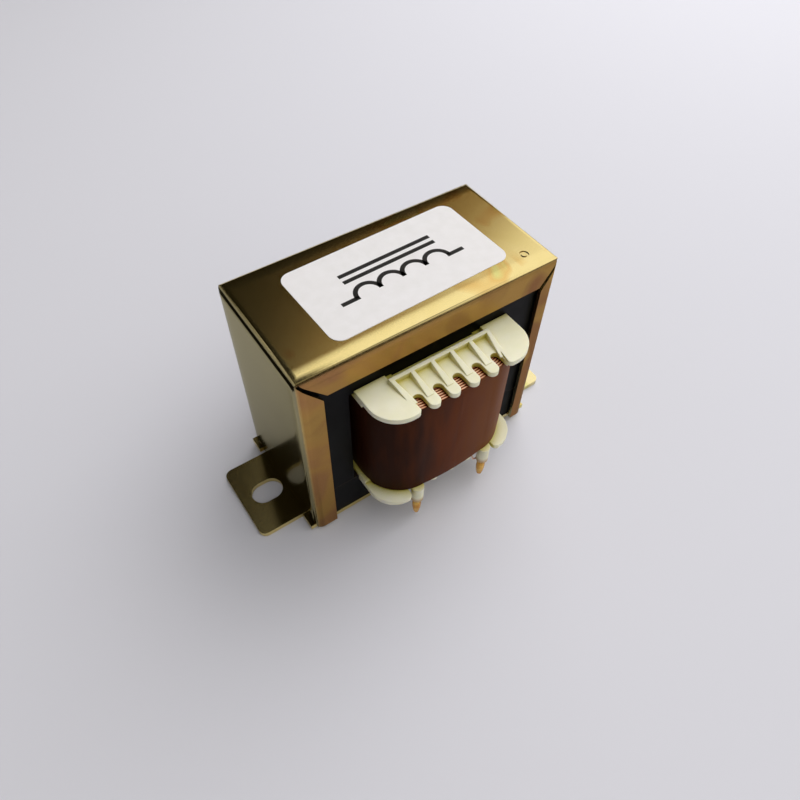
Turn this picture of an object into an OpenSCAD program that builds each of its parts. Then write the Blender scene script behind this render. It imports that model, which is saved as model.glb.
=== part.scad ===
// Iron-core choke coil in a folded channel frame with slotted mounting feet.
// Millimetres, +Z up. The origin is on the floor under the middle of the core,
// X runs along the core and its feet, Y through the stack of laminations.

/* [Core] */
// Width of the limb that carries the coil
centre_limb_w = 22; // [16:0.5:30]
// Width of each outer limb
side_limb_w = 11; // [8:0.5:15]
// Height of the back bar of the E sheets and of the I bar
yoke_h = 11; // [8:0.5:15]
// Width of each coil window
window_w = 11; // [9:0.5:18]
// Height of each coil window
window_h = 33; // [28:0.5:50]
// Thickness of the whole stack of sheets
stack_t = 32.6; // [24:0.4:50]
// Thickness of the air gap spacer between E and I
gap_t = 0.3; // [0.1:0.05:1.5]

/* [Channel frame] */
// Sheet thickness of the frame
sheet_t = 1; // [0.8:0.05:1.5]
// Free play between the sharp edges of the core and the bends they lie in
frame_fit = 0.02; // [0.01:0.01:0.3]
// Outer radius of the lengthwise lip bends
lip_bend_r = 2.2; // [1.8:0.1:3.5]
// Outer radius of the two bends between top and ends
end_bend_r = 1.8; // [1.7:0.1:3.2]
// Height of the lips along the top
top_lip = 6.9; // [5:0.1:9]
// Width of the lips on the left end
left_lip = 5.8; // [4:0.1:8]
// Width of the lips on the right end
right_lip = 4.4; // [3.2:0.1:8]
// Width of the saw gap in each mitred corner, at the window
mitre_gap = 1.5; // [0.6:0.1:1.8]
// Width of the saw gap at its outer end
mitre_tip_w = 0.8; // [0.3:0.1:1]
// Width of the twisted lugs that hold the strap
lug_w = 3; // [2:0.1:3.2]
// Twist of the lug ends, in degrees
lug_twist = 35; // [10:1:60]
// Outer diameter of the ring pressed into the top
ring_d = 2.3; // [1.5:0.1:4]
// Diameter of the middle that stays raised in the ring
ring_core_d = 1.4; // [0.6:0.1:1.4]
// Depth of the pressed ring
ring_depth = 0.2; // [0.1:0.05:0.5]
// Distance of the ring from the right end
ring_end_inset = 6.6; // [5:0.1:9]
// Distance of the ring from the front
ring_side_inset = 5.5; // [4:0.1:8]

/* [Base strap] */
// Thickness of the strap
strap_t = 1.5; // [0.8:0.1:2]
// Height by which the feet drop below the seat of the core
foot_drop = 1.2; // [1.2:0.1:3]
// Width of the shoulders on both sides of each foot
shoulder_w = 4.3; // [4:0.1:6]
// Width of the cut between a foot and its shoulders
foot_side_cut = 0.9; // [0.3:0.1:1.5]
// Length of each foot outside the frame
foot_reach = 12.7; // [12:0.1:24]
// Radius of the outer corners of the feet
foot_corner_r = 2; // [0.5:0.1:5]
// Width of the mounting slots
slot_w = 6.3; // [4.5:0.1:7]
// Overall length of the mounting slots
slot_len = 8.5; // [7.5:0.1:9.5]
// Distance from the middle of a slot to the end of its foot
slot_inset = 7.3; // [6:0.1:7.5]
// Reach of the strap shoulders past the ends of the frame
shoulder_reach = 1.2; // [0.8:0.1:3]
// Length over which each foot drops from the seat
joggle_run = 2.5; // [2:0.1:4]
// Distance of the foot of the joggle inside the end wall
joggle_inset = 0.4; // [0.2:0.1:1.5]
// Play of the strap between the lips of the frame on each side
strap_fit = 0.2; // [0.1:0.05:0.5]
// Play of each lug in its slit
slit_fit = 0.1; // [0.05:0.05:0.3]
// Height of the lug ends over the floor
lug_end_z = 0.3; // [0.1:0.1:0.6]

/* [Bobbin] */
// Wall of the bobbin tube
tube_wall = 1.2; // [0.8:0.1:2]
// Play between the bobbin and the core
bobbin_fit = 0.2; // [0.1:0.05:0.5]
// Thickness of the flanges inside the windows
flange_t = 1.2; // [0.8:0.1:2]
// Gap between the flanges and the outer limbs
flange_gap = 1.1; // [0.3:0.1:2]
// Reach of the flanges past the face of the core
flange_reach = 12.7; // [10.5:0.1:18]
// Radius of the flange corners
flange_r = 7; // [3:0.1:8]
// Thickness of the flange lobes outside the core
lobe_t = 1.3; // [0.9:0.1:2]
// Height by which the lobes stand beyond the inner flanges
lobe_rise = 1.2; // [0.6:0.1:2]
// Spacing of the notches and of the terminals
comb_pitch = 5.25; // [4.8:0.05:5.6]
// Number of notches in the upper comb, and of places for terminals
notch_count = 5; // [3:2:5]
// Width of the notches
notch_w = 2.4; // [1.8:0.1:2.8]
// Depth of the notches
notch_depth = 4.8; // [2.5:0.1:5]
// Distance of the comb rail from the face of the core
rail_inset = 2.2; // [0.8:0.1:3]
// Thickness of the comb rail
rail_t = 1; // [0.8:0.1:2]
// Height of the rail and of the ribs over the lobes
rib_h = 1; // [0.5:0.1:2]
// Width of the ribs at their crest
rib_w = 0.9; // [0.8:0.1:1.6]
// Width of the ribs at their root
rib_root_w = 1.8; // [1.6:0.1:2.4]
// Distance from the lower ends of the ribs to the tips of the fingers
rib_end_inset = 2.8; // [1.5:0.1:3.5]
// Depth of the pockets between the ribs below the lobes
pocket_depth = 0.4; // [0.2:0.1:0.6]
// Width of the narrow cut beside each outer finger of the lower comb
side_notch_w = 0.8; // [0.4:0.1:1.2]
// Radius of the inner front corners of the lobes
lobe_tip_r = 1.3; // [0.4:0.1:1.5]
// Distance by which the fingers of the lower comb fall short of the lobes
lower_recess = 1.3; // [0.2:0.1:1.6]

/* [Coil] */
// Diameter of the enamelled wire
wire_d = 0.36; // [0.2:0.02:0.6]
// Gap between the taped coil and the outer limbs
coil_gap = 1.9; // [0.8:0.1:4]
// Distance from the front edge of the flanges to the taped coil
coil_inset = 1.2; // [0.6:0.1:3]
// Radius of the corners of the taped coil
coil_r = 11; // [6:0.1:11.5]
// Outward bulge of the front and back of the coil
coil_bulge = 0.5; // [0.2:0.05:0.6]
// Thickness of the layers of outer tape
tape_t = 0.35; // [0.1:0.05:0.8]
// Thickness of the insulation wound on the bobbin tube
wrap_t = 0.3; // [0.1:0.05:0.6]
// Play between the coil and the flanges
coil_fit = 0.1; // [0.05:0.05:0.4]

/* [Terminals] */
// Diameter of the terminal pins
pin_d = 1.2; // [0.8:0.05:1.4]
// Height of the pin tips over the floor
pin_tip_z = 2; // [0.2:0.1:3]
// Distance of the pins from the front edge of the flange
pin_inset = 1.6; // [1.4:0.1:2.2]
// Diameter of the moulded bosses round the pins
boss_d = 3.2; // [2.4:0.1:3.4]
// Height of the bosses below the lobes
boss_h = 3.8; // [2:0.1:5]
// Number of turns of wire round each pin
lead_turns = 3; // [2:1:6]
// Diameter of the solder bead at its belly
bead_d = 2.3; // [2:0.1:2.6]
// Height of the solder bead on each pin
bead_h = 5.8; // [2:0.1:6]

/* [Label] */
// Margin between the sticker and each end of the frame
label_end_margin = 11; // [9:0.05:20]
// Margin between the sticker and the front and back of the frame
label_side_margin = 5.7; // [5:0.1:10]
// Corner radius of the sticker
label_r = 2.8; // [1:0.1:5]
// Thickness of the sticker
label_t = 0.12; // [0.05:0.01:0.3]
// Turn of the sticker on the top, in degrees
label_turn = 1.6; // [-3:0.1:3]
// Place of the middle of the sticker along the frame
label_x = 1; // [-2:0.1:2]
// Place of the middle of the sticker across the frame
label_y = 0.1; // [-1.5:0.1:1.5]

/* [Hidden] */
$fn = 48;

// The edges of the core lie in the bends, so its faces stand off the walls of the frame
// by this much, rounded up to a hundredth
bend_relief = (max(lip_bend_r, end_bend_r) - sheet_t) * (1 - cos(45));
core_gap = ceil(100 * (bend_relief + frame_fit)) / 100;

// Heights, from the floor upwards
seat_z = foot_drop + strap_t;
gap_z = seat_z + yoke_h;
legs_z = gap_z + gap_t;
window_top_z = legs_z + window_h;
core_top_z = window_top_z + yoke_h;
frame_top_z = core_top_z + core_gap + sheet_t;
lip_bottom_z = strap_t + slit_fit;

// Widths of the core and the frame
core_w = centre_limb_w + 2 * (window_w + side_limb_w);
frame_l = core_w + 2 * (core_gap + sheet_t);
frame_d = stack_t + 2 * (core_gap + sheet_t);
limb_x = centre_limb_w / 2 + window_w;

// The strap lies between the lips and runs out under the ends
strap_w = frame_d - 2 * (sheet_t + strap_fit);
strap_l = frame_l + 2 * shoulder_reach;
foot_x = frame_l / 2 + foot_reach;
shoulder_y = strap_w / 2 - shoulder_w;
foot_w = 2 * (shoulder_y - foot_side_cut);
joggle_x = frame_l / 2 - sheet_t - joggle_inset;

// Lugs stand in the middle of the shoulders, under the end walls
lug_y = strap_w / 2 - shoulder_w / 2;
lug_x = (frame_l - sheet_t) / 2;

// Bobbin, mirrored about the middle of the windows
bobbin_mid_z = (legs_z + window_top_z) / 2;
bobbin_half_h = window_h / 2 - bobbin_fit;
flange_x = limb_x - flange_gap;
flange_y = stack_t / 2 + flange_reach;
face_y = stack_t / 2 + bobbin_fit;
tube_x = centre_limb_w / 2 + bobbin_fit;
lobe_top = bobbin_half_h + lobe_rise;
lobe_base = lobe_top - lobe_t;
pocket_top = lobe_top - pocket_depth;
rail_y = stack_t / 2 + rail_inset;
finger_w = comb_pitch - notch_w;
comb_x = notch_count * comb_pitch / 2;
notch_end_y = flange_y - notch_depth;
plate_base = pocket_top - lobe_t;
boss_bottom = lobe_top + boss_h;
tube_r = 1;

// Play between wound layers, overlap of joined pieces, and reach of a cut past a face
layer_fit = 0.02;
weld = 0.2;
past = 1;

// Coil between the flanges
coil_x = limb_x - coil_gap;
coil_y = flange_y - coil_inset;
coil_half_h = bobbin_half_h - flange_t - coil_fit;
front_half_h = min(lobe_base, plate_base) - coil_fit;
front_y = rail_y + rail_t + coil_fit;
bulge_w = coil_x - coil_r;
bulge_r = (bulge_w * bulge_w + coil_bulge * coil_bulge) / (2 * coil_bulge);

// Terminals stand at the outermost places of the lower comb
pin_x = (notch_count - 1) / 2 * comb_pitch;
pin_y = -(flange_y - pin_inset);
pin_fit = 0.02;
pin_taper = 0.5;
pin_depth = boss_h + lobe_t;

// The wire is a little thicker at its knees, and its turns sink into each other
knee = 1.08;
turn_sink = 0.05;
turns_top_z = bobbin_mid_z - boss_bottom - wire_d * knee / 2 - pin_fit;
turn_step = wire_d * (1 - turn_sink);
turns_end_z = turns_top_z - (lead_turns - 1) * turn_step - wire_d / 2;

// Part of a half wave that the side of a solder bead follows, in degrees, and its steps
bead_from = 45;
bead_to = 168;
bead_steps = 10;

// Share of the diagonal of a lip corner that its saw gap opens
mitre_share = 0.88;

// Rectangle with round corners, from its middle
module rounded_rect(l, w, r) {
    square([l - 2 * r, w], center = true);
    square([l, w - 2 * r], center = true);
    for (sx = [-1, 1], sy = [-1, 1])
        translate([sx * (l / 2 - r), sy * (w / 2 - r)]) circle(r);
}

// Upright outline with a flat foot and two round upper corners
module arch(w, h, r) {
    translate([-w / 2, 0]) square([w, h - r]);
    translate([-w / 2 + r, 0]) square([w - 2 * r, h]);
    for (s = [-1, 1]) translate([s * (w / 2 - r), h - r]) circle(r);
}

// Block whose top edges and upright corners are bends: r_end runs along Y, r_lip along X and Z
module bent_block(l, w, h, r_end, r_lip) {
    intersection() {
        rotate([90, 0, 0]) linear_extrude(w, center = true) arch(l, h, r_end);
        rotate([90, 0, 90]) linear_extrude(l, center = true) arch(w, h, r_lip);
        linear_extrude(h) rounded_rect(l, w, r_lip);
    }
}

// Saw gap from the inner corner of the lips towards the outer corner of the frame
module mitre_slot(lip_w) {
    corner = [frame_l / 2 - lip_w, frame_top_z - top_lip];
    diagonal = norm([lip_w, top_lip]);
    reach = diagonal * mitre_share;
    translate(corner) rotate(atan2(top_lip, lip_w))
        polygon([[-mitre_gap, -mitre_gap / 2], [reach, -mitre_tip_w / 2],
                 [reach, mitre_tip_w / 2], [-mitre_gap, mitre_gap / 2]]);
}

// Everything cut from the front and back of the folded shell, drawn in the XZ plane
module lip_window() {
    translate([-(frame_l / 2 - left_lip), -past])
        square([frame_l - left_lip - right_lip, frame_top_z - top_lip + past]);
    mirror([1, 0]) mitre_slot(left_lip);
    mitre_slot(right_lip);
}

// Lug of the shell: straight through its slit, then twisted under the strap
module frame_lug() {
    translate([lug_x - sheet_t / 2, lug_y - lug_w / 2, foot_drop - layer_fit])
        cube([sheet_t, lug_w, strap_t + past]);
    translate([lug_x, lug_y, lug_end_z]) rotate(lug_twist)
        translate([-sheet_t / 2, -lug_w / 2, 0]) cube([sheet_t, lug_w, foot_drop - lug_end_z]);
}

module channel_frame() {
    color("#a08a4a") {
        difference() {
            bent_block(frame_l, frame_d, frame_top_z, end_bend_r, lip_bend_r);
            translate([0, 0, -past])
                bent_block(frame_l - 2 * sheet_t, frame_d - 2 * sheet_t, frame_top_z - sheet_t + past,
                           end_bend_r - sheet_t, lip_bend_r - sheet_t);
            // open bottom
            translate([-frame_l, -frame_d, -past])
                cube([2 * frame_l, 2 * frame_d, lip_bottom_z + past]);
            // open front and back between the lips
            for (s = [-1, 1]) translate([0, s * frame_d / 2, 0]) rotate([90, 0, 0])
                linear_extrude(2 * lip_bend_r, center = true) lip_window();
            // the ends stand on the shoulders of the strap
            for (sx = [0, 1], sy = [0, 1]) mirror([sx, 0, 0]) mirror([0, sy, 0])
                translate([frame_l / 2 - 2 * lip_bend_r, shoulder_y, 0])
                    cube([2 * lip_bend_r + past, shoulder_w + strap_fit / 2, seat_z + slit_fit / 2]);
            // pressed ring
            translate([frame_l / 2 - ring_end_inset, ring_side_inset - frame_d / 2, 0]) difference() {
                translate([0, 0, frame_top_z - ring_depth]) cylinder(h = past, d = ring_d);
                cylinder(h = frame_top_z + 2 * past, d = ring_core_d);
            }
        }
        for (sx = [0, 1], sy = [0, 1]) mirror([sx, 0, 0]) mirror([0, sy, 0]) frame_lug();
    }
}

// Side view of one half of the strap: flat seat, joggle, foot
module strap_profile() {
    slope = norm([joggle_run, foot_drop]);
    lap = strap_t * (slope - joggle_run) / foot_drop;
    start_x = joggle_x - joggle_run;
    polygon([[0, foot_drop], [start_x - lap, foot_drop], [joggle_x - lap, 0], [foot_x, 0],
             [foot_x, strap_t], [joggle_x, strap_t], [start_x, seat_z], [0, seat_z]]);
}

module mounting_slot() {
    straight = slot_len - slot_w;
    for (s = [-1, 1]) translate([s * straight / 2, 0, -past])
        cylinder(h = strap_t + 2 * past, d = slot_w);
    translate([-straight / 2, -slot_w / 2, -past])
        cube([straight, slot_w, strap_t + 2 * past]);
}

module base_strap() {
    color("#c9a54e") {
        difference() {
            // seat under the core, with its four shoulders
            translate([-strap_l / 2, -strap_w / 2, foot_drop]) cube([strap_l, strap_w, strap_t]);
            // room for the joggled feet between the shoulders
            for (s = [0, 1]) mirror([s, 0, 0])
                translate([joggle_x - 2 * joggle_run, -shoulder_y, foot_drop - past])
                    cube([strap_l, 2 * shoulder_y, strap_t + 2 * past]);
            // slits for the lugs
            for (sx = [-1, 1], sy = [-1, 1])
                translate([sx * lug_x - sheet_t / 2 - slit_fit, sy * lug_y - lug_w / 2 - slit_fit, 0])
                    cube([sheet_t + 2 * slit_fit, lug_w + 2 * slit_fit, 2 * seat_z]);
        }
        for (s = [0, 1]) mirror([s, 0, 0]) difference() {
            rotate([90, 0, 0]) linear_extrude(foot_w, center = true) strap_profile();
            // round outer corners
            for (sy = [0, 1]) mirror([0, sy, 0])
                translate([foot_x - foot_corner_r, foot_w / 2 - foot_corner_r, -past]) difference() {
                    cube([foot_corner_r + past, foot_corner_r + past, strap_t + 2 * past]);
                    cylinder(h = strap_t + 2 * past, r = foot_corner_r);
                }
            translate([foot_x - slot_inset, 0, 0]) mounting_slot();
        }
    }
}

module e_laminations() {
    color("#232225")
        translate([0, -stack_t / 2, 0]) difference() {
            translate([-core_w / 2, 0, legs_z]) cube([core_w, stack_t, window_h + yoke_h]);
            for (s = [0, 1]) mirror([s, 0, 0])
                translate([centre_limb_w / 2, -past, legs_z - past])
                    cube([window_w, stack_t + 2 * past, window_h + past]);
        }
}

module i_laminations() {
    color("#232225")
        translate([-core_w / 2, -stack_t / 2, seat_z]) cube([core_w, stack_t, yoke_h]);
}

module gap_spacer() {
    color("#8c6b46")
        translate([-core_w / 2, -stack_t / 2, gap_z]) cube([core_w, stack_t, gap_t]);
}

// Outline of a flange in plan
module flange_plan() {
    rounded_rect(2 * flange_x, 2 * flange_y, flange_r);
}

// Strip of the plan from the distance y outwards, front and back
module beyond(y) {
    for (s = [0, 1]) mirror([0, s]) translate([-2 * flange_x, y]) square([4 * flange_x, 2 * flange_y]);
}

// U-shaped notch cut inwards from the front edge at x
module notch(x, w) {
    translate([x, notch_end_y + w / 2]) circle(d = w);
    translate([x - w / 2, notch_end_y + w / 2]) square([w, 2 * notch_depth]);
}

// Rounds a square front corner at x: takes away what lies outside the radius r, whose
// middle is to the right of x
module round_corner(x, y, r) {
    difference() {
        translate([x - layer_fit, y - r]) square([r + layer_fit, r + past]);
        translate([x + r, y - r]) circle(r);
    }
}

// Fingers get round tips
module finger_tip(x, y) {
    for (s = [0, 1]) translate([x, 0]) mirror([s, 0]) round_corner(-finger_w / 2, y, finger_w / 2);
}

// Field of a comb between the lobes, whose sides lean in by lean towards the front
module comb_field(edge_x, lean) {
    front_x = edge_x - lean;
    polygon([[-edge_x, 0], [edge_x, 0], [edge_x, rail_y], [front_x, flange_y], [front_x, 2 * flange_y],
             [-front_x, 2 * flange_y], [-front_x, flange_y], [-edge_x, rail_y]]);
}

// Rib that falls from the height of the rail into the plate at end_y. It leans to the left by
// lean over the length of the comb.
module rib(x, end_y, lean) {
    run = end_y - rail_y;
    root_z = pocket_top - weld;
    crest_z = lobe_top + rib_h;
    fall = rib_h + pocket_depth - weld / 2;
    translate([x, rail_y, 0]) rotate(atan(lean / (flange_y - rail_y))) difference() {
        rotate([90, 0, 0]) mirror([0, 0, 1])
            linear_extrude(run) polygon([[-rib_root_w / 2, root_z], [rib_root_w / 2, root_z],
                                         [rib_w / 2, crest_z], [-rib_w / 2, crest_z]]);
        // sloping crest
        translate([-rib_root_w, rail_t, crest_z]) rotate([-atan(fall / (run - rail_t)), 0, 0])
            cube([2 * rib_root_w, 2 * run, 2 * rib_h]);
    }
}

// One comb: lobes, recessed plate, rail and ribs, for the front and upper side.
// notches holds the place and width of each notch, ribs and fingers their places along X.
module comb(notches, ribs, fingers, edge_x, lean, tip_y) {
    lobe_x = max([for (n = notches) n[0] + n[1] / 2]);
    // lobes
    translate([0, 0, lobe_base]) linear_extrude(lobe_t) difference() {
        intersection() {
            flange_plan();
            translate([-2 * flange_x, face_y]) square([4 * flange_x, flange_y]);
        }
        comb_field(edge_x, lean);
        for (s = [0, 1]) mirror([s, 0]) round_corner(lobe_x, flange_y, lobe_tip_r);
    }
    // recessed plate with its notches
    translate([0, 0, plate_base]) linear_extrude(lobe_t) difference() {
        intersection() {
            comb_field(edge_x, lean);
            translate([-edge_x, rail_y]) square([2 * edge_x, tip_y - rail_y]);
        }
        for (n = notches) notch(n[0], n[1]);
        for (x = fingers) finger_tip(x, tip_y);
        for (s = [0, 1]) mirror([s, 0]) round_corner(lobe_x, flange_y, lobe_tip_r);
    }
    // rail, down to the inner flange
    translate([-edge_x - rib_w / 2, rail_y, bobbin_half_h - flange_t])
        cube([2 * edge_x + rib_w, rail_t, lobe_top + rib_h - bobbin_half_h + flange_t]);
    for (x = ribs)
        if (abs(x) < edge_x) rib(x, tip_y - rib_end_inset, 0);
        else rib(x, flange_y - 2 * lobe_tip_r, sign(x) * lean);
}

module upper_comb() {
    n = notch_count;
    comb(notches = [for (i = [0 : n - 1]) [(i - (n - 1) / 2) * comb_pitch, notch_w]],
         ribs = [for (i = [0 : n]) (i - n / 2) * comb_pitch],
         fingers = [for (i = [1 : n - 1]) (i - n / 2) * comb_pitch],
         edge_x = comb_x, lean = finger_w / 2, tip_y = flange_y);
}

module lower_comb() {
    n = notch_count;
    places = [for (i = [0 : n - 1]) (i - (n - 1) / 2) * comb_pitch];
    side_x = pin_x + (max(finger_w, boss_d) + side_notch_w) / 2;
    comb(notches = concat([for (i = [1 : n - 1]) [(i - n / 2) * comb_pitch, notch_w]],
                          [for (s = [-1, 1]) [s * side_x, side_notch_w]]),
         ribs = places, fingers = places, edge_x = side_x + side_notch_w / 2, lean = 0,
         tip_y = flange_y - lower_recess);
}

module bobbin() {
    color("#e2e2c6") translate([0, 0, bobbin_mid_z]) difference() {
        union() {
            // tube
            linear_extrude(2 * bobbin_half_h, center = true)
                rounded_rect(2 * (tube_x + tube_wall), 2 * (face_y + tube_wall), tube_r);
            for (sz = [0, 1]) mirror([0, 0, sz]) {
                // inner flange, as deep as the rail
                translate([0, 0, bobbin_half_h - flange_t]) linear_extrude(flange_t)
                    square([2 * flange_x, 2 * (rail_y + rail_t)], center = true);
                for (sy = [0, 1]) mirror([0, sy, 0]) if (sz == 0) upper_comb(); else lower_comb();
            }
            // bosses of the two terminals
            for (s = [-1, 1]) translate([s * pin_x, pin_y, -boss_bottom])
                cylinder(h = boss_bottom - plate_base, d = boss_d);
        }
        // way through for the middle limb
        cube([2 * tube_x, 2 * face_y, 4 * bobbin_half_h], center = true);
        // holes of the pins
        for (s = [-1, 1]) translate([s * pin_x, pin_y, -boss_bottom - past])
            cylinder(h = pin_depth + past, d = pin_d + 2 * pin_fit);
    }
}

// Outline of the taped coil in plan, drawn in by inset
module coil_plan(inset) {
    rounded_rect(2 * (coil_x - inset), 2 * (coil_y - inset), coil_r - inset);
    for (s = [0, 1]) mirror([0, s]) intersection() {
        translate([0, coil_y + coil_bulge - bulge_r]) circle(bulge_r - inset);
        translate([-bulge_w, 0]) square([2 * bulge_w, 2 * coil_y]);
    }
}

// Plan outline of the bobbin tube, grown by grow
module tube_plan(grow) {
    rounded_rect(2 * (tube_x + tube_wall + grow), 2 * (face_y + tube_wall + grow), tube_r + grow);
}

// A wound ring: as high as the windows inside the core, higher past the rails
module wound() {
    linear_extrude(2 * coil_half_h, center = true) children();
    linear_extrude(2 * front_half_h, center = true) intersection() {
        children();
        beyond(front_y);
    }
}

module inner_insulation() {
    color("#c8a878") translate([0, 0, bobbin_mid_z]) linear_extrude(2 * coil_half_h, center = true)
        difference() {
            tube_plan(wrap_t + layer_fit);
            tube_plan(layer_fit);
        }
}

module winding() {
    color("#b8683a") translate([0, 0, bobbin_mid_z]) wound() difference() {
        coil_plan(tape_t + layer_fit);
        tube_plan(wrap_t + 2 * layer_fit);
    }
}

module outer_tape() {
    color("#4a2a1c") translate([0, 0, bobbin_mid_z]) wound() difference() {
        coil_plan(0);
        coil_plan(tape_t);
    }
}

// Straight round wire from p to q, with a knee that is a little thicker at q
module wire(p, q) {
    d = q - p;
    translate(p) rotate([0, acos(d[2] / norm(d)), atan2(d[1], d[0])])
        cylinder(h = norm(d), d = wire_d, $fn = 24);
    translate(q) sphere(d = wire_d * knee, $fn = 24);
}

// Lead of the right-hand pin: down through the notch beside the boss, in under the boss,
// then round the pin
module lead() {
    notch_x = pin_x - comb_pitch / 2;
    notch_y = -(notch_end_y + notch_w / 2);
    turn_r = (pin_d + wire_d) / 2 + pin_fit;
    route = [[notch_x, notch_y, bobbin_mid_z - front_half_h - wire_d / 2 - layer_fit],
             [notch_x, notch_y, bobbin_mid_z - lobe_top - rib_h - wire_d / 2],
             [pin_x - boss_d / 2 - wire_d, pin_y + turn_r + wire_d, turns_top_z],
             [pin_x, pin_y + turn_r, turns_top_z]];
    for (i = [1 : len(route) - 1]) wire(route[i - 1], route[i]);
    translate([pin_x, pin_y, turns_top_z]) rotate_extrude()
        for (k = [0 : lead_turns - 1]) translate([turn_r, -k * turn_step]) circle(d = wire_d, $fn = 24);
}

module start_lead() {
    color("#c27a3e") mirror([1, 0, 0]) lead();
}

module finish_lead() {
    color("#c27a3e") lead();
}

module terminal_pin() {
    top_z = bobbin_mid_z - boss_bottom + pin_depth - pin_fit;
    translate([0, 0, pin_tip_z + pin_taper]) cylinder(h = top_z - pin_tip_z - pin_taper, d = pin_d);
    translate([0, 0, pin_tip_z]) cylinder(h = pin_taper, d1 = pin_d / 2, d2 = pin_d);
}

module left_terminal_pin() {
    color("#c9a04a") translate([-pin_x, pin_y, 0]) terminal_pin();
}

module right_terminal_pin() {
    color("#c9a04a") translate([pin_x, pin_y, 0]) terminal_pin();
}

// Bead below the turns of wire: swells to a belly, then thins towards the tip of the pin.
// Its side follows a part of a half wave.
module solder_bead() {
    inner_r = pin_d / 2 + pin_fit;
    swell = bead_d / 2 - inner_r;
    top_z = turns_end_z - pin_fit;
    bottom_z = max(top_z - bead_h, pin_tip_z + pin_taper);
    side = [for (i = [0 : bead_steps])
        let (t = i / bead_steps)
        [inner_r + swell * sin(bead_from + t * (bead_to - bead_from)), top_z + t * (bottom_z - top_z)]];
    rotate_extrude() polygon(concat([[inner_r, bottom_z], [inner_r, top_z]], side));
}

module left_solder_joint() {
    color("#c2953c") translate([-pin_x, pin_y, 0]) solder_bead();
}

module right_solder_joint() {
    color("#c2953c") translate([pin_x, pin_y, 0]) solder_bead();
}

module label() {
    color("#f2f2ef") translate([label_x, label_y, frame_top_z]) rotate(label_turn)
        linear_extrude(label_t)
            rounded_rect(frame_l - 2 * label_end_margin, frame_d - 2 * label_side_margin, label_r);
}

channel_frame();
base_strap();
e_laminations();
i_laminations();
gap_spacer();
bobbin();
inner_insulation();
winding();
outer_tape();
start_lead();
finish_lead();
left_terminal_pin();
right_terminal_pin();
left_solder_joint();
right_solder_joint();
label();
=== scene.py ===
"""The looks of an iron-core choke coil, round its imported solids. A size is millimetres times MM."""

import math

import bpy
import numpy as np
from mathutils import Matrix, Vector


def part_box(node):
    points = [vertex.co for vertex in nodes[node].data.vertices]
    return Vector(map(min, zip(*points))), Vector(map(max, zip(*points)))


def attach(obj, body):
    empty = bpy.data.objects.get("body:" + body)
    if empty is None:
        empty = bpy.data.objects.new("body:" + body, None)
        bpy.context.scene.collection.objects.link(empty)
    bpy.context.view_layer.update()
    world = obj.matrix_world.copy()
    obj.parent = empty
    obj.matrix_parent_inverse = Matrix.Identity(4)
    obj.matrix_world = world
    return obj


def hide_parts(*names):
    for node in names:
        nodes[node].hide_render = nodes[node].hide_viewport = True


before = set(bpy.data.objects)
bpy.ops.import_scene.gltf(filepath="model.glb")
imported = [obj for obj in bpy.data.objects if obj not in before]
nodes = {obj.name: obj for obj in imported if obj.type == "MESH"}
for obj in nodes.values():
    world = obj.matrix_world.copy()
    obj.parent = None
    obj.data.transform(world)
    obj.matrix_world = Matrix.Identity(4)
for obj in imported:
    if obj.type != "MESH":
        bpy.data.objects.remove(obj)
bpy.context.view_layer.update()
MM = 0.001

# The core: two stacks of silicon steel sheet, E sheets above and I sheets below,
# blackened with varnish after they were pressed together. The sheets lie one
# behind the other, so their edges show as fine lines on the sides and in the windows.


def linear(hex_colour):
    """The linear colour of an sRGB hex value: ((s + 0.055) / 1.055) ** 2.4 above the toe."""
    srgb = np.array([int(hex_colour[i : i + 2], 16) for i in (1, 3, 5)]) / 255
    rgb = np.where(srgb <= 0.04045, srgb / 12.92, ((srgb + 0.055) / 1.055) ** 2.4)
    return (*rgb.tolist(), 1.0)


def fill(tree, node, inputs):
    """Fills each named input of a node with a value, or links it to a socket."""
    for name, value in inputs.items():
        if isinstance(value, bpy.types.NodeSocket):
            tree.links.new(value, node.inputs[name])
        else:
            node.inputs[name].default_value = value


def add(tree, kind, inputs, stops=(), **settings):
    """Adds a node, sets what it is and fills its inputs. A colour ramp also takes its stops,
    as pairs of a place and a hex colour."""
    made = tree.nodes.new(kind)
    for name, value in settings.items():
        setattr(made, name, value)
    fill(tree, made, inputs)
    if stops:
        elements = made.color_ramp.elements
        elements[0].position = stops[0][0]
        elements[1].position = stops[-1][0]
        for place, _ in stops[1:-1]:
            elements.new(place)
        for element, (_, hex_colour) in zip(elements, stops):
            element.color = linear(hex_colour)
    return made


def finish_named(name):
    """A new material, with its tree, its principled shader and its Object coordinates."""
    material = bpy.data.materials.new(name)
    material.use_nodes = True
    tree = material.node_tree
    place = add(tree, "ShaderNodeTexCoord", {}).outputs["Object"]
    return material, tree, tree.nodes["Principled BSDF"], place


def dress(node, material):
    """Gives a kept node its finish."""
    nodes[node].data.materials.clear()
    nodes[node].data.materials.append(material)


def soften(node, width):
    """Joins a kept node's triangles and breaks its sharp edges by that width."""
    weld = nodes[node].modifiers.new("join", "WELD")
    weld.merge_threshold = 0.001 * MM
    bevel = nodes[node].modifiers.new("broken_edges", "BEVEL")
    bevel.width = width
    bevel.segments = 2
    bevel.limit_method = "ANGLE"
    bevel.angle_limit = math.radians(40)
    bevel.harden_normals = True


SHEET = 0.5 * MM
BLOTCH = 11.1 * MM

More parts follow.
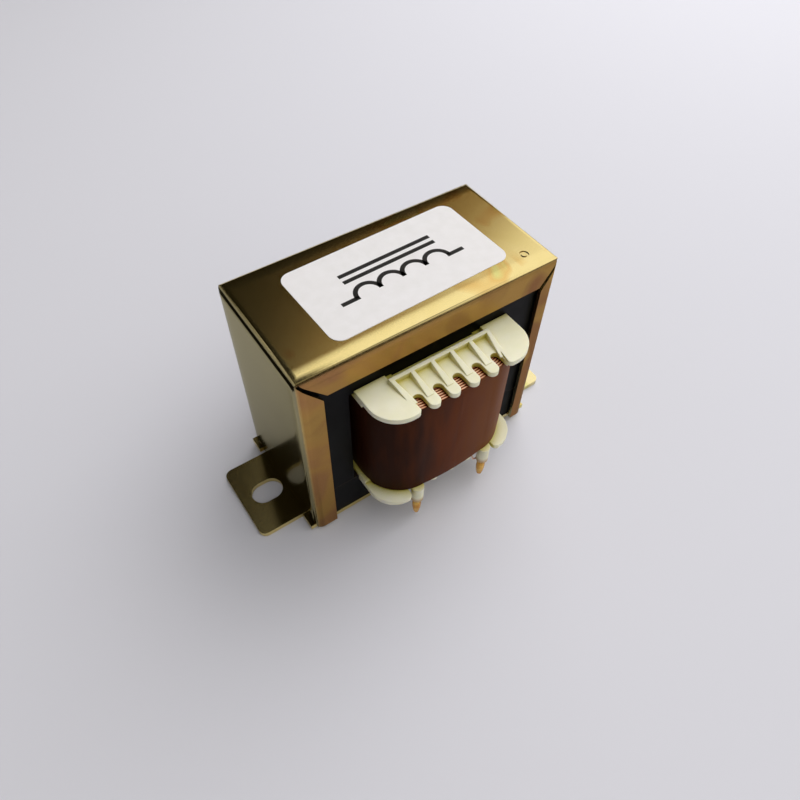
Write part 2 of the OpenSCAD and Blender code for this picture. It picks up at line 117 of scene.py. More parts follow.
# Varnish on rolled steel: all but black, with a dull sheen that changes in blotches.
varnish, tree, shader, place = finish_named("varnished_silicon_steel")
across = add(tree, "ShaderNodeSeparateXYZ", {"Vector": place}).outputs["Y"]
lines = {0: across, 1: 2 * math.pi / SHEET}
lines = add(tree, "ShaderNodeMath", lines, operation="MULTIPLY").outputs[0]
lines = add(tree, "ShaderNodeMath", {0: lines}, operation="SINE").outputs[0]
blotch = {"Vector": place, "Scale": 1 / BLOTCH, "Detail": 4.0}
blotch = add(tree, "ShaderNodeTexNoise", blotch).outputs["Fac"]
black = add(tree, "ShaderNodeValToRGB", {"Fac": blotch}, [(0.3, "#020203"), (0.7, "#060504")])
sheen = {"Value": blotch, "From Min": 0.3, "From Max": 0.7, "To Min": 0.35, "To Max": 0.5}
sheen = add(tree, "ShaderNodeMapRange", sheen, interpolation_type="SMOOTHSTEP")
relief = {"Height": lines, "Strength": 0.35, "Distance": 0.04 * MM}
relief = add(tree, "ShaderNodeBump", relief)
steel = {
    "Base Color": black.outputs["Color"],
    "Roughness": sheen.outputs["Result"],
    "Specular IOR Level": 0.07,
    "Normal": relief.outputs["Normal"],
}
fill(tree, shader, steel)
for stack in ("e_laminations", "i_laminations"):
    soften(stack, 0.12 * MM)
    dress(stack, varnish)

# The gap spacer: a strip of brown presspaper between the legs of the E sheets and
# the I sheets. It keeps the iron from saturating.

FIBRE = 1.11 * MM

# Presspaper: dull felted board, very dark brown where its edge shows.
presspaper, tree, shader, place = finish_named("brown_presspaper")
fibre = {"Vector": place, "Scale": 1 / FIBRE, "Detail": 6.0}
fibre = add(tree, "ShaderNodeTexNoise", fibre).outputs["Fac"]
brown = add(tree, "ShaderNodeValToRGB", {"Fac": fibre}, [(0.3, "#17100a"), (0.7, "#261a10")])
fill(tree, shader, {"Base Color": brown.outputs["Color"], "Roughness": 0.85})
dress("gap_spacer", presspaper)

# The bobbin: cream nylon, moulded in one piece, with two flanges, their combs and
# the bosses of the pins. It is pushed over the core's middle limb.

CLOUD = 8.33 * MM
# The mould's own grain is finer: it is drawn as coarse as it needs to show.
GRAIN = 0.4 * MM
# How far the painted shade in the nooks looks for walls.
NOOK_SHADE_REACH = 3 * MM
SOFT_EDGE = 0.35 * MM
FLUX_TOP = 11.4 * MM
FLUX_BOTTOM = 9.2 * MM

# Nylon: satin and a little translucent. Its nooks carry painted shade: ambient occlusion
# mixes the cream toward a darker yellow green there. Its moulded edges look soft. Amber flux
# has stained the bosses' ends.
nylon, tree, shader, place = finish_named("moulded_cream_nylon")
cloud = {"Vector": place, "Scale": 1 / CLOUD, "Detail": 3.0}
cloud = add(tree, "ShaderNodeTexNoise", cloud).outputs["Fac"]
cream = add(tree, "ShaderNodeValToRGB", {"Fac": cloud}, [(0.35, "#ebe8c8"), (0.65, "#f3f0d9")])
open_sky = add(tree, "ShaderNodeAmbientOcclusion", {"Distance": NOOK_SHADE_REACH}, samples=8).outputs["AO"]
open_sky = {"Value": open_sky, "From Min": 0.35, "From Max": 0.97}
open_sky = add(tree, "ShaderNodeMapRange", open_sky, interpolation_type="SMOOTHSTEP")
# Painted shade: where ambient occlusion finds walls close by, the cream turns a darker yellow green.
painted_nook_shade = {0: open_sky.outputs["Result"], 6: linear("#c4b84e"), 7: cream.outputs["Color"]}
painted_nook_shade = add(tree, "ShaderNodeMix", painted_nook_shade, data_type="RGBA").outputs[2]
height = add(tree, "ShaderNodeSeparateXYZ", {"Vector": place}).outputs["Z"]
flux = {"Value": height, "From Min": FLUX_BOTTOM, "From Max": FLUX_TOP, "To Min": 0.85, "To Max": 0.0}
flux = add(tree, "ShaderNodeMapRange", flux, interpolation_type="SMOOTHSTEP").outputs["Result"]
flux = add(tree, "ShaderNodeMix", {0: flux, 6: painted_nook_shade, 7: linear("#b98a3e")}, data_type="RGBA")
grain = {"Vector": place, "Scale": 1 / GRAIN, "Detail": 2.0}
grain = add(tree, "ShaderNodeTexNoise", grain).outputs["Fac"]
soft_edge = add(tree, "ShaderNodeBevel", {"Radius": SOFT_EDGE}, samples=6).outputs["Normal"]
relief = {"Height": grain, "Strength": 0.1, "Distance": 0.02 * MM, "Normal": soft_edge}
relief = add(tree, "ShaderNodeBump", relief)
moulded = {
    "Base Color": flux.outputs[2],
    "Roughness": 0.42,
    "IOR": 1.53,
    "Subsurface Weight": 0.25,
    "Subsurface Radius": (1.0, 0.9, 0.4),
    "Subsurface Scale": 1.2 * MM,
    "Normal": relief.outputs["Normal"],
}
fill(tree, shader, moulded)
dress("bobbin", nylon)

# The inner insulation: a few turns of cream paper, wound on the bobbin's tube and held
# by the wire that is wound over it.

PAPER_FIBRE = 1.43 * MM

# Insulation paper: matt and cream, with its fibres just showing.
paper, tree, shader, place = finish_named("cream_insulation_paper")
fibre = {"Vector": place, "Scale": 1 / PAPER_FIBRE, "Detail": 5.0}
fibre = add(tree, "ShaderNodeTexNoise", fibre).outputs["Fac"]
cream = add(tree, "ShaderNodeValToRGB", {"Fac": fibre}, [(0.3, "#c4ab80"), (0.7, "#d8c298")])
fill(tree, shader, {"Base Color": cream.outputs["Color"], "Roughness": 0.8})
dress("inner_insulation", paper)

# The winding: enamelled copper wire in layers round the bobbin's tube. Only the ends
# of its outer layers show, in the notches of the combs, as turns that run round the
# coil. The real wire is 0.36 mm thick: it is drawn coarser, so that its turns show.

COIL_CORNER = 11 * MM
COIL_BULGE = 0.5 * MM
RAIL_OUT = 19.7 * MM
RISE_LONG = 0.8 * MM
SHARP_ANGLE = math.radians(50)
tape_low, tape_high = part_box("outer_tape")


def outline(inset, count=288):
    """Points and outward normals round the coil in plan: a rectangle with round corners whose
    front and back swell by COIL_BULGE * (1 - (x / flat) ** 2), drawn in by inset."""
    half_x = tape_high.x
    half_y = tape_high.y - COIL_BULGE
    flat = half_x - COIL_CORNER
    side = half_y - COIL_CORNER
    lengths = np.array([flat, COIL_CORNER * math.pi / 2, 2 * side, COIL_CORNER * math.pi / 2, flat])
    marks = np.concatenate([[0], np.cumsum(lengths)])
    s = (np.arange(count // 2) + 0.5) / (count // 2) * marks[-1]
    turn = np.clip(s - marks[1], 0, lengths[1]) + np.clip(s - marks[3], 0, lengths[3])
    angle = turn / COIL_CORNER - math.pi / 2
    corner_y = -side + np.clip(s - marks[2], 0, lengths[2])
    along = np.clip(s, 0, flat) - np.clip(s - marks[4], 0, flat)
    x = along + (COIL_CORNER - inset) * np.cos(angle)
    y = corner_y + (COIL_CORNER - inset) * np.sin(angle)
    swell = COIL_BULGE * (1 - np.clip(x / flat, -1, 1) ** 2)
    on_flat = np.abs(np.sin(angle)) > 0.999
    y = y + np.sign(y) * swell * on_flat
    half = np.stack([x, y], -1)
    ring = np.concatenate([half, -half])
    ahead = np.roll(ring, -1, axis=0) - np.roll(ring, 1, axis=0)
    normal = np.stack([ahead[:, 1], -ahead[:, 0]], -1)
    return ring, normal / np.linalg.norm(normal, axis=1, keepdims=True)


def skin(name, grid, closed_path=True, uv=None):
    """A mesh from a grid of points, rows along a path and columns round a closed section.
    An open path gets a flat cap at each end. uv gives one pair for each point. The faces turn
    round where the sum of a . (b x c), over each one's first three corners, is below 0."""
    rows, columns = grid.shape[:2]
    index = np.arange(rows * columns).reshape(rows, columns)
    here = index if closed_path else index[:-1]
    ahead = np.roll(index, -1, axis=0) if closed_path else index[1:]
    quads = np.stack([here, ahead, np.roll(ahead, -1, axis=1), np.roll(here, -1, axis=1)], -1)
    faces = quads.reshape(-1, 4).tolist()
    if not closed_path:
        faces += [index[0].tolist(), index[-1][::-1].tolist()]
    mesh = bpy.data.meshes.new(name)
    mesh.from_pydata(grid.reshape(-1, 3), [], faces)
    corners = grid.reshape(-1, 3)[quads.reshape(-1, 4)]
    volume = np.einsum("ij,ij->i", corners[:, 0], np.cross(corners[:, 1], corners[:, 2])).sum()
    if volume < 0:
        mesh.flip_normals()
    mesh.shade_smooth()
    mesh.set_sharp_from_angle(angle=SHARP_ANGLE)
    if uv is not None:
        layer = mesh.uv_layers.new(name="UVMap")
        corner_points = np.zeros(len(mesh.loops), np.int32)
        mesh.loops.foreach_get("vertex_index", corner_points)
        layer.uv.foreach_set("vector", uv.reshape(-1, 2)[corner_points].astype(np.float32).ravel())
    return mesh


def piece(name, mesh, material, slot, *stands_for):
    """Puts a mesh into the scene as a piece that rides on the part and takes its finish."""
    made = bpy.data.objects.new(name, mesh)
    bpy.context.scene.collection.objects.link(made)
    mesh.materials.append(material)
    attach(made, "root")
    if stands_for:
        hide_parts(*stands_for)


def gathered(meshes):
    """One mesh that holds all the others."""
    parts = [bpy.data.objects.new(mesh.name, mesh) for mesh in meshes]
    for part in parts:
        bpy.context.scene.collection.objects.link(part)
    with bpy.context.temp_override(active_object=parts[0], selected_editable_objects=parts):
        bpy.ops.object.join()
    whole = parts[0].data
    bpy.data.objects.remove(parts[0])
    return whole


def half_height(y):
    """Half the coil's height at y: it is CORNER_LIFT less between the flanges' rails, and
    past them it rises over RISE_LONG by t ** 2 * (3 - 2 * t)."""
    t = np.clip((np.abs(y) - RAIL_OUT) / RISE_LONG, 0, 1)
    return outer_half - CORNER_LIFT * (1 - t * t * (3 - 2 * t))


WIRE = 0.5 * MM
WIRE_STEP = 0.66 * MM
WIRE_SIDES = 8
WIRE_DRIFT = 0.012 * MM
LAYERS = 9
CORNER_LIFT = 0.7 * MM
TAPE = 0.35 * MM
BODY_SLACK = 0.1 * MM
WIRE_SLACK = 0.05 * MM
TUBE_HALF_X = 12.8 * MM
TUBE_HALF_Y = 18.2 * MM
middle_z = (tape_low.z + tape_high.z) / 2
outer_half = (tape_high.z - tape_low.z) / 2
rng = np.random.default_rng(66)

# Enamelled copper: salmon turns with clear enamel over them. The colour is painted shade
# from ambient occlusion: dark red in the gaps where one turn shades the next, lightest on
# the turns' open tops.
copper, tree, shader, place = finish_named("enamelled_copper_wire")
open_sky = add(tree, "ShaderNodeAmbientOcclusion", {"Distance": 0.9 * MM}, samples=8).outputs["AO"]
turn_shade_colours = [(0.4, "#1c0803"), (0.62, "#b05a34"), (0.8, "#f2a67c"), (0.92, "#ffd0b0")]
between = add(tree, "ShaderNodeValToRGB", {"Fac": open_sky}, turn_shade_colours).outputs["Color"]
fill(tree, shader, {"Base Color": between, "Metallic": 0.4, "Roughness": 0.25})

# The wound body under the turns: a ring from the tube out to the tape.
body_rows = outline(TAPE + BODY_SLACK)[0]
tube_rows = np.stack(
    [
        np.clip(body_rows[:, 0], -TUBE_HALF_X, TUBE_HALF_X),
        np.clip(body_rows[:, 1], -TUBE_HALF_Y, TUBE_HALF_Y),
    ],
    -1,
)
deck = half_height(body_rows[:, 1]) - WIRE / 2
section = np.stack(
    [
        np.column_stack([body_rows, middle_z - deck]),
        np.column_stack([body_rows, middle_z + deck]),
        np.column_stack([tube_rows, middle_z + deck]),
        np.column_stack([tube_rows, middle_z - deck]),
    ],
    1,
)
meshes = [skin("winding", section)]
around = np.arange(WIRE_SIDES) / WIRE_SIDES * 2 * math.pi
for layer in range(LAYERS):
    rows, normals = outline(TAPE + WIRE_SLACK + WIRE / 2 + WIRE_STEP * layer)
    top = half_height(rows[:, 1]) - WIRE / 2
    drift = np.cumsum(rng.normal(0, WIRE_DRIFT, len(rows)))
    drift -= np.linspace(0, drift[-1], len(rows))
    for side in (-1, 1):
        centre = np.column_stack([rows, middle_z + side * (top + drift)])
        outwards = normals[:, None, :] * (WIRE / 2 * np.cos(around))[None, :, None]
        upwards = (WIRE / 2 * np.sin(around))[None, :, None]
        ring = np.concatenate([centre[:, None, :2] + outwards, centre[:, None, 2:] + upwards], -1)
        meshes.append(skin(f"turn_{len(meshes) - 1}", ring))
piece("copper_winding", gathered(meshes), copper, "magnet_wire", "winding")

# The outer tape: brown varnished tape, a few layers over the coil, as wide as the
# coil is high. It is drawn tight, so it creases a little and its rims draw in.

TAPE_ROWS = 28
TAPE_POINTS = 480
RIM_FALL = 0.12 * MM
CREASE = 0.03 * MM
# Two crossing creases: each one's length over 2 pi, and its slant and start in radians.
CREASES = ((2.3 * MM, 3.0, 0.0), (5.1 * MM, -5.0, 1.7))
rows, normals = outline(0, TAPE_POINTS)
height = half_height(rows[:, 1])
run = np.concatenate([[0], np.cumsum(np.linalg.norm(np.diff(rows, axis=0), axis=1))])
level = np.linspace(-1, 1, TAPE_ROWS)
# The face lies under the solid's by the rims' RIM_FALL * level ** 6, by CREASE, and by the
# sine creases of that depth, which fade out at the rims by 1 - level ** 4.
crease = sum(np.sin(run[:, None] / long + slant * level + start) for long, slant, start in CREASES)
out = CREASE * (crease * (1 - level**4) - 1) - RIM_FALL * level**6
face = rows[:, None, :] + normals[:, None, :] * out[:, :, None]
face = np.concatenate([face, middle_z + (height[:, None] * level)[:, :, None]], -1)
back = rows[:, None, :] - normals[:, None, :] * np.full((1, 2, 1), TAPE)
back = np.concatenate([back, middle_z + (height[:, None] * np.array([1, -1]))[:, :, None]], -1)
grid = np.concatenate([face, back], 1)
uv = np.stack([np.broadcast_to(run[:, None], grid.shape[:2]), grid[:, :, 2]], -1) / MM

STREAK_WIDE = 3.333 * MM
STREAK_LONG = 20 * MM
STREAK_TURN = (0.0, 0.0, 0.45)
THREAD = 0.3333 * MM
THREAD_LONG = 3.333 * MM

# Varnished tape: dull brown, with streaks over its width and threads along it. It is painted
# darker and redder towards the left end, a painted shade. The map is in millimetres.
tape, tree, shader, place = finish_named("brown_varnished_tape")
own = add(tree, "ShaderNodeUVMap", {}, uv_map="UVMap").outputs["UV"]
streak = (MM / STREAK_WIDE, MM / STREAK_LONG, 1.0)
streak = {"Vector": own, "Scale": streak, "Rotation": STREAK_TURN}
streak = add(tree, "ShaderNodeMapping", streak).outputs["Vector"]
streak = {"Vector": streak, "Scale": 1.0, "Detail": 4.0}
streak = add(tree, "ShaderNodeTexNoise", streak).outputs["Fac"]
# Painted shade: a slope along x darkens the tape towards its left end.
streak_and_left_shade = add(tree, "ShaderNodeSeparateXYZ", {"Vector": place}).outputs["X"]
streak_and_left_shade = {
    "Value": streak_and_left_shade,
    "From Min": tape_low.x,
    "From Max": tape_high.x,
    "To Min": -0.12,
    "To Max": 0.6,
}
streak_and_left_shade = add(tree, "ShaderNodeMapRange", streak_and_left_shade, interpolation_type="SMOOTHSTEP").outputs["Result"]
streak_and_left_shade = add(tree, "ShaderNodeMath", {0: streak, 1: 0.45, 2: streak_and_left_shade}, operation="MULTIPLY_ADD").outputs[0]
streaked_shade_colours = [(0.12, "#2e1305"), (0.42, "#5e2e12"), (0.8, "#744524")]
stain = add(tree, "ShaderNodeValToRGB", {"Fac": streak_and_left_shade}, streaked_shade_colours)
sheen = {"Value": streak, "From Min": 0.3, "From Max": 0.7, "To Min": 0.42, "To Max": 0.55}
sheen = add(tree, "ShaderNodeMapRange", sheen, interpolation_type="SMOOTHSTEP")
threads = {"Vector": own, "Scale": (MM / THREAD_LONG, MM / THREAD, 1.0)}
threads = add(tree, "ShaderNodeMapping", threads).outputs["Vector"]
threads = {"Vector": threads, "Scale": 1.0, "Detail": 3.0}
threads = add(tree, "ShaderNodeTexNoise", threads).outputs["Fac"]
relief = {"Height": threads, "Strength": 0.25, "Distance": 0.05 * MM}
relief = add(tree, "ShaderNodeBump", relief)
varnished = {
    "Base Color": stain.outputs["Color"],
    "Roughness": sheen.outputs["Result"],
    "Specular IOR Level": 0.04,
    "Normal": relief.outputs["Normal"],
}
fill(tree, shader, varnished)
piece("coil_tape", skin("coil_tape", grid, uv=uv), tape, "coil_tape", "outer_tape")

# The leads: the two ends of the winding's wire, led through a notch and wound
# on the pins before they were soldered.

for lead in ("start_lead", "finish_lead"):
    dress(lead, copper)

# The terminal pins: round brass wire with tapered ends, tinned by the solder, pressed
# into the bosses of the bobbin.

PIN_STAIN = 1.67 * MM

# Brass under amber flux: a warm, wet-looking yellow, uneven where the flux ran.
brass, tree, shader, place = finish_named("fluxed_brass_pin")
stain = {"Vector": place, "Scale": 1 / PIN_STAIN, "Detail": 4.0}
stain = add(tree, "ShaderNodeTexNoise", stain).outputs["Fac"]
amber = add(tree, "ShaderNodeValToRGB", {"Fac": stain}, [(0.3, "#dc962a"), (0.7, "#f4c654")])
fill(tree, shader, {"Base Color": amber.outputs["Color"], "Metallic": 0.5, "Roughness": 0.28})
for pin in ("left_terminal_pin", "right_terminal_pin"):
    dress(pin, brass)

# The solder joints: tin solder, melted with amber flux, so that it ran into the turns
# of wire on the pins and holds them.

SOLDER_STAIN = 2 * MM

# Solder under flux: glossier than the pins, and as amber.
solder, tree, shader, place = finish_named("solder_under_flux")
stain = {"Vector": place, "Scale": 1 / SOLDER_STAIN, "Detail": 3.0}
stain = add(tree, "ShaderNodeTexNoise", stain).outputs["Fac"]
amber = add(tree, "ShaderNodeValToRGB", {"Fac": stain}, [(0.35, "#d69430"), (0.65, "#f0c05c")])
fill(tree, shader, {"Base Color": amber.outputs["Color"], "Metallic": 0.5, "Roughness": 0.2})
for joint in ("left_solder_joint", "right_solder_joint"):
    dress(joint, solder)

# The channel frame: 1 mm steel sheet, folded over the core, with mitred lips and
# lugs that are twisted under the strap, then zinc plated and passivated yellow.

FILM_PATCH = 18.18 * MM
# The plating's own grain is finer: it is drawn as coarse as it needs to show.
SPECK = 0.3125 * MM
SATIN_SPREAD = 0.08
LIP_SATIN = 0.22
# How far in from a bend the folded sheet is crowned along each axis, and how far it
# falls at the bend. Only the ends are crowned along Z.
CROWN_REACH = {"X": 1.0 * MM, "Y": 4.7 * MM, "Z": 3.0 * MM}
CROWN_FALL = {"X": 0.23 * MM, "Y": 0.46 * MM, "Z": 2.3 * MM}
GOLD = [(0.3, "#ecd894"), (0.6, "#f2dfa0"), (0.66, "#e6c27a"), (0.7, "#e0da90"), (0.76, "#f4e6b2")]
# The lips' bronze darkens at its last stop, a painted shade on their right part. The ends' olive grey
# is painted shade.
BRONZE_AND_RIGHT_SHADE = [(0.34, "#a87c52"), (0.48, "#b28a50"), (0.58, "#b08c50"), (0.7, "#946a48")]
OLIVE_END_SHADE = [(0.3, "#9a9374"), (0.6, "#a39b7a")]
frame_low, frame_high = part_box("channel_frame")


def zinc_finish(name, gloss, grain, folded):
    """Yellow passivated zinc: a gold mirror with a fine grain. The film's thickness, a noise
    plus a slope to the right, sets its hue. Folded sheet is bronze on its lips, painted darker
    towards the right as shade, and painted a darker olive grey on its ends as shade. It falls
    by CROWN_FALL * t ** 2 as t goes from 0 to 1 over CROWN_REACH to a bend."""
    material, tree, shader, place = finish_named(name)
    parted = add(tree, "ShaderNodeSeparateXYZ", {"Vector": place})
    film = {"Vector": place, "Scale": 1 / FILM_PATCH, "Detail": 2.0, "Distortion": 1.0}
    film = add(tree, "ShaderNodeTexNoise", film).outputs["Fac"]
    slope = {
        "Value": parted.outputs["X"],
        "From Min": frame_low.x,
        "From Max": frame_high.x,
        "To Min": -0.12,
        "To Max": 0.16,
    }
    slope = add(tree, "ShaderNodeMapRange", slope, interpolation_type="SMOOTHSTEP").outputs["Result"]
    film = add(tree, "ShaderNodeMath", {0: film, 1: slope}, operation="ADD").outputs[0]
    hue = add(tree, "ShaderNodeValToRGB", {"Fac": film}, GOLD).outputs["Color"]
    speck = {"Vector": place, "Scale": 1 / SPECK, "Detail": 2.0}
    speck = add(tree, "ShaderNodeTexNoise", speck).outputs["Fac"]
    satin = {
        "Value": speck,
        "From Min": 0.35,
        "From Max": 0.65,
        "To Min": gloss,
        "To Max": gloss + SATIN_SPREAD,
    }
    satin = add(tree, "ShaderNodeMapRange", satin, interpolation_type="SMOOTHSTEP").outputs["Result"]
    relief = {"Height": speck, "Strength": grain, "Distance": 0.02 * MM}
    if folded:
        facing = tree.nodes["Texture Coordinate"].outputs["Normal"]
        facing = add(tree, "ShaderNodeVectorMath", {0: facing}, operation="ABSOLUTE")
        facing = add(tree, "ShaderNodeSeparateXYZ", {"Vector": facing.outputs["Vector"]})
        turned = {}
        # Painted shade: faces turned to X take the darker olive grey, and faces turned to Y take
        # bronze that darkens to the right.
        for axis, colours in (("X", OLIVE_END_SHADE), ("Y", BRONZE_AND_RIGHT_SHADE)):
            on_face = {"Value": facing.outputs[axis], "From Min": 0.5, "From Max": 0.9}
            on_face = add(tree, "ShaderNodeMapRange", on_face, interpolation_type="SMOOTHSTEP")
            turned[axis] = on_face.outputs["Result"]
            colour = add(tree, "ShaderNodeValToRGB", {"Fac": film}, colours).outputs["Color"]
            hue = {0: turned[axis], 6: hue, 7: colour}
            hue = add(tree, "ShaderNodeMix", hue, data_type="RGBA").outputs[2]
        satin = {0: turned["Y"], 1: LIP_SATIN, 2: satin}
        satin = add(tree, "ShaderNodeMath", satin, operation="MULTIPLY_ADD").outputs[0]
        crown = {}
        for axis, bend in zip("XYZ", frame_high):
            way = add(tree, "ShaderNodeMath", {0: parted.outputs[axis]}, operation="ABSOLUTE")
            way = {
                "Value": way.outputs[0],
                "From Min": bend - CROWN_REACH[axis],
                "From Max": bend,
                "To Max": math.sqrt(CROWN_FALL[axis]),
            }
            way = {0: add(tree, "ShaderNodeMapRange", way).outputs["Result"], 1: 2.0}
            crown[axis] = add(tree, "ShaderNodeMath", way, operation="POWER").outputs[0]
        fall = {0: crown["X"], 1: crown["Y"]}
        fall = add(tree, "ShaderNodeMath", fall, operation="ADD").outputs[0]
        fall = {0: crown["Z"], 1: turned["X"], 2: fall}
        fall = add(tree, "ShaderNodeMath", fall, operation="MULTIPLY_ADD").outputs[0]
        fall = {"Height": fall, "Strength": 1.0, "Distance": 1.0}
        relief["Normal"] = add(tree, "ShaderNodeBump", fall, invert=True).outputs["Normal"]
    plated = {
        "Base Color": hue,
        "Roughness": satin,
        "Metallic": 1.0,
        "Specular Tint": linear("#d6d2c0"),
        "Normal": add(tree, "ShaderNodeBump", relief).outputs["Normal"],
    }
    fill(tree, shader, plated)
    return material


# On the frame the film gives gold above and bronze on the lips, with faint rainbow patches
# at the right, where it is thickest. The ends are painted a darker olive grey and the lips
# painted darker towards the right: both are painted shade.
frame_zinc = zinc_finish("yellow_passivated_zinc", gloss=0.13, grain=0.05, folded=True)
dress("channel_frame", frame_zinc)
soften("channel_frame", 0.1 * MM)

# The base strap: a 1.5 mm strip of the same steel, bent down at both ends into feet with
# a slot each. The frame's twisted lugs hold it under the core. Its zinc is brighter than
# the frame's, and gold all round.

strap_zinc = zinc_finish("bright_passivated_zinc", gloss=0.1, grain=0.012, folded=False)
dress("base_strap", strap_zinc)
soften("base_strap", 0.1 * MM)

# The sticker: white satin paper with round corners, on the frame's top, a little
# turned. The print on it is the plain sign for a coil with an iron core.

LABEL_TURN = math.radians(1.6)
LABEL_CORNER = 2.8 * MM
LABEL_LONG = 46.76 * MM
LABEL_WIDE = 23.96 * MM
CORNER_POINTS = 12
PAPER_MOTTLE = 2.5 * MM
INK = 0.01 * MM
label_low, label_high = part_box("label")
label_middle = (label_low + label_high) / 2
paper_thick = label_high.z - label_low.z - 2 * INK


def on_label(x, y, z):
    """Points of the sticker: x and y turned by LABEL_TURN about its middle, z over the steel."""
    turned_x = label_middle.x + x * math.cos(LABEL_TURN) - y * math.sin(LABEL_TURN)
    turned_y = label_middle.y + x * math.sin(LABEL_TURN) + y * math.cos(LABEL_TURN)
    return np.stack(np.broadcast_arrays(turned_x, turned_y, label_low.z + z), -1)


# Sticker paper: white with a soft shine, and a mottle too faint to name.
sticker, tree, shader, place = finish_named("white_sticker_paper")
mottle = {"Vector": place, "Scale": 1 / PAPER_MOTTLE, "Detail": 4.0}
mottle = add(tree, "ShaderNodeTexNoise", mottle).outputs["Fac"]
white = add(tree, "ShaderNodeValToRGB", {"Fac": mottle}, [(0.3, "#e6e4e6"), (0.7, "#ebe9ec")])
fill(tree, shader, {"Base Color": white.outputs["Color"], "Roughness": 0.45})
bend = np.linspace(0, math.pi / 2, CORNER_POINTS)
edge = LABEL_LONG / 2 - LABEL_CORNER * (1 - np.cos(bend))
rim_x = np.concatenate([-edge, edge[::-1]])
rim_y = LABEL_WIDE / 2 - LABEL_CORNER * (1 - np.sin(bend))
rim_y = np.concatenate([rim_y, rim_y[::-1]])
sides = rim_y[:, None] * np.array([-1, 1, 1, -1])
paper_grid = on_label(rim_x[:, None], sides, np.array([0, 0, 1, 1]) * paper_thick)
piece("paper_label", skin("paper_label", paper_grid, False), sticker, "label_paper", "label")

LINE = 1.1 * MM
HUMP = 3.1 * MM
HUMPS = 4
HUMP_POINTS = 33
BASE_LINE = -3.4 * MM
BAR_LINE = 2.2 * MM
BAR_STEP = 2.1 * MM
LEAD = 4 * MM
INK_MOTTLE = 1.11 * MM


def stroke(name, x, y):
    """A line of ink along a path: a rectangle LINE wide and INK high, half to each side."""
    step = np.gradient(np.stack([x, y], -1), axis=0)
    step /= np.linalg.norm(step, axis=1, keepdims=True)
    left = np.array([-1, 1, 1, -1]) * LINE / 2
    high = np.array([0, 0, 1, 1]) * INK + paper_thick
    grid = on_label(x[:, None] - step[:, 1:] * left, y[:, None] + step[:, :1] * left, high)
    return skin(name, grid, False)


# Printing ink: black, with the paper's dull shine.
black_ink, tree, shader, place = finish_named("black_printing_ink")
mottle = {"Vector": place, "Scale": 1 / INK_MOTTLE, "Detail": 3.0}
mottle = add(tree, "ShaderNodeTexNoise", mottle).outputs["Fac"]
black = add(tree, "ShaderNodeValToRGB", {"Fac": mottle}, [(0.3, "#100f10"), (0.7, "#1e1c1d")])
fill(tree, shader, {"Base Color": black.outputs["Color"], "Roughness": 0.5})
arc = np.linspace(math.pi, 0, HUMP_POINTS)
end = HUMPS * HUMP
strokes = [
    stroke(f"hump_{k}", HUMP * (2 * k + 1 + np.cos(arc)) - end, BASE_LINE + HUMP * np.sin(arc))
    for k in range(HUMPS)
]
for k, side in enumerate((-1, 1)):
    out = np.array([end - LINE / 2, end + LEAD]) * side
    strokes.append(stroke(f"lead_{k}", out, np.full(2, BASE_LINE)))
    strokes.append(stroke(f"bar_{k}", np.array([-end, end]), np.full(2, BAR_LINE + k * BAR_STEP)))
piece("winding_sign", gathered(strokes), black_ink, "label_paper")

# The floor: a plain sheet of matt, pale paper, wider than the picture. The coil stands
# on it by its two feet.

FLOOR_REACH = 1500 * MM
floor_mesh = bpy.data.meshes.new("floor")
corners = [(x * FLOOR_REACH, y * FLOOR_REACH, 0) for x, y in ((-1, -1), (1, -1), (1, 1), (-1, 1))]
floor_mesh.from_pydata(corners, [], [(0, 1, 2, 3)])
floor = bpy.data.objects.new("floor", floor_mesh)
bpy.context.scene.collection.objects.link(floor)
backdrop, tree, shader, place = finish_named("pale_backdrop_paper")
matt = {"Base Color": linear("#d8d8e1"), "Roughness": 0.9, "Specular IOR Level": 0.1}
fill(tree, shader, matt)
floor_mesh.materials.append(backdrop)

# The light: a wide soft window above, in front and to the right, which the zinc mirrors
# up to its edge on the top, a dim warm room behind, and lamps that metal doesn't mirror.

HAZE = (0.012, 0.01, 0.006)
# A stop's place is (1 + y) / 2 for a ray whose direction is (x, y, z): 0 is in front, 1 behind.
ROOM = [
    (0.15, "#2d271c"),
    (0.29, "#fffcf4"),
    (0.76, "#fffcf4"),
    (0.775, "#c9bfa8"),
    (0.788, "#846b42"),
    (0.805, "#775b2d"),
    (0.82, "#4b3718"),
    (0.845, "#332510"),
    (0.87, "#1c140a"),
]
world = bpy.data.worlds.new("studio")
bpy.context.scene.world = world
world.use_nodes = True
tree = world.node_tree
direction = add(tree, "ShaderNodeTexCoord", {}).outputs["Generated"]
back = {0: direction, 1: (0.0, 0.5, 0.0)}
back = add(tree, "ShaderNodeVectorMath", back, operation="DOT_PRODUCT").outputs["Value"]
back = add(tree, "ShaderNodeMath", {0: back, 1: 0.5}, operation="ADD").outputs[0]
room = add(tree, "ShaderNodeValToRGB", {"Fac": back}, ROOM).outputs["Color"]
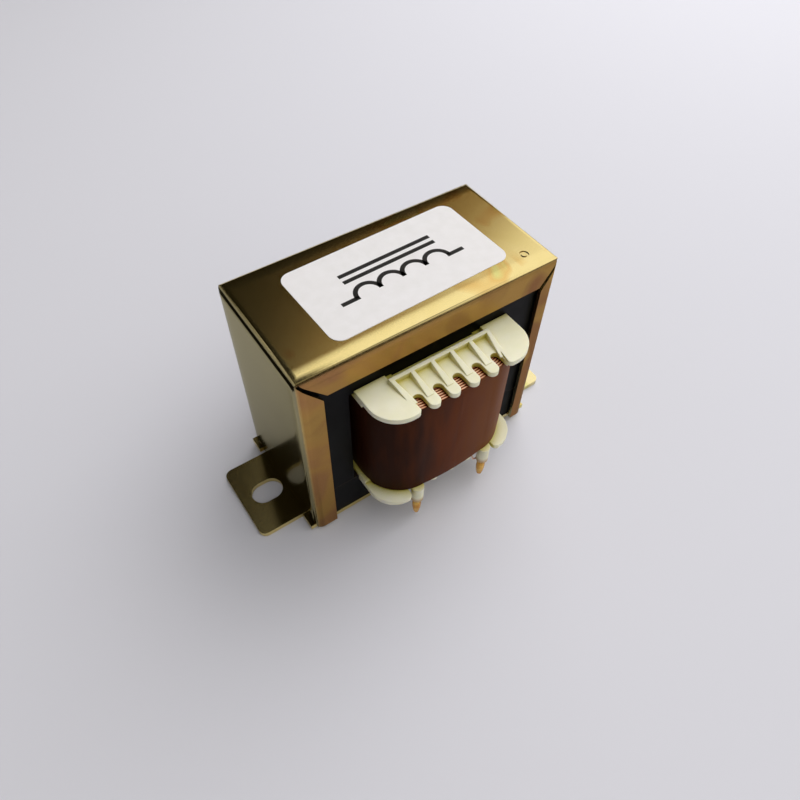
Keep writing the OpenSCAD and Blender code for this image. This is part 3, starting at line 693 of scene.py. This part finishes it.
# The window's left edge stands aslant: it fades in over this range of x - y / 2.
aside = {0: direction, 1: (1.0, -0.5, 0.0)}
aside = add(tree, "ShaderNodeVectorMath", aside, operation="DOT_PRODUCT").outputs["Value"]
aside = {"Value": aside, "From Min": -0.135, "From Max": 0.06}
aside = add(tree, "ShaderNodeMapRange", aside, interpolation_type="SMOOTHSTEP").outputs["Result"]
seen = add(tree, "ShaderNodeVectorMath", {0: room, 1: aside, 2: HAZE}, operation="MULTIPLY_ADD")
fill(tree, tree.nodes["Background"], {"Color": seen.outputs["Vector"], "Strength": 1.05})

LAMP_AIM = Vector((0, 0, 30)) * MM


def lamp(name, direction, distance, size, power):
    """A square soft lamp that looks at the core's middle and isn't mirrored by metal."""
    light = bpy.data.lights.new(name, "AREA")
    light.size = size
    light.energy = power
    made = bpy.data.objects.new(name, light)
    bpy.context.scene.collection.objects.link(made)
    made.location = LAMP_AIM + Vector(direction).normalized() * distance
    made.rotation_euler = (LAMP_AIM - made.location).to_track_quat("-Z", "Y").to_euler()
    made.visible_glossy = False


lamp("key_lamp", (0.8, 0.4, 0.75), 550 * MM, 600 * MM, 1.8)
lamp("top_lamp", (0.25, -0.4, 1.0), 900 * MM, 1500 * MM, 4.2)
lamp("side_lamp", (-0.7, 0.3, 0.6), 600 * MM, 600 * MM, 0.2)
lamp("front_lamp", (0.1, -0.8, 0.6), 500 * MM, 500 * MM, 0.25)

# The camera: where the photograph was taken from, looking down over the left
# front corner, a little rolled.

EYE = Vector((-64.493, -93.652, 158.421)) * MM
AZIMUTH, ELEVATION, ROLL = (math.radians(a) for a in (-35.817, 52.065, 1.633))
FOCAL_PIXELS = 671.133
PICTURE_PIXELS = 800
SENSOR = 36
ahead = Vector(
    (
        math.cos(ELEVATION) * math.sin(-AZIMUTH),
        math.cos(ELEVATION) * math.cos(AZIMUTH),
        -math.sin(ELEVATION),
    )
)
level_right = ahead.cross(Vector((0, 0, 1))).normalized()
level_up = level_right.cross(ahead)
right = level_right * math.cos(ROLL) + level_up * math.sin(ROLL)
up = level_up * math.cos(ROLL) - level_right * math.sin(ROLL)
camera_data = bpy.data.cameras.new("camera")
camera_data.sensor_width = SENSOR
camera_data.lens = SENSOR * FOCAL_PIXELS / PICTURE_PIXELS
camera_data.clip_start = 5 * MM
camera = bpy.data.objects.new("camera", camera_data)
bpy.context.scene.collection.objects.link(camera)
camera.matrix_world = Matrix.Translation(EYE) @ Matrix((right, up, -ahead)).transposed().to_4x4()
bpy.context.scene.camera = camera
bpy.context.scene.view_settings.view_transform = "Standard"
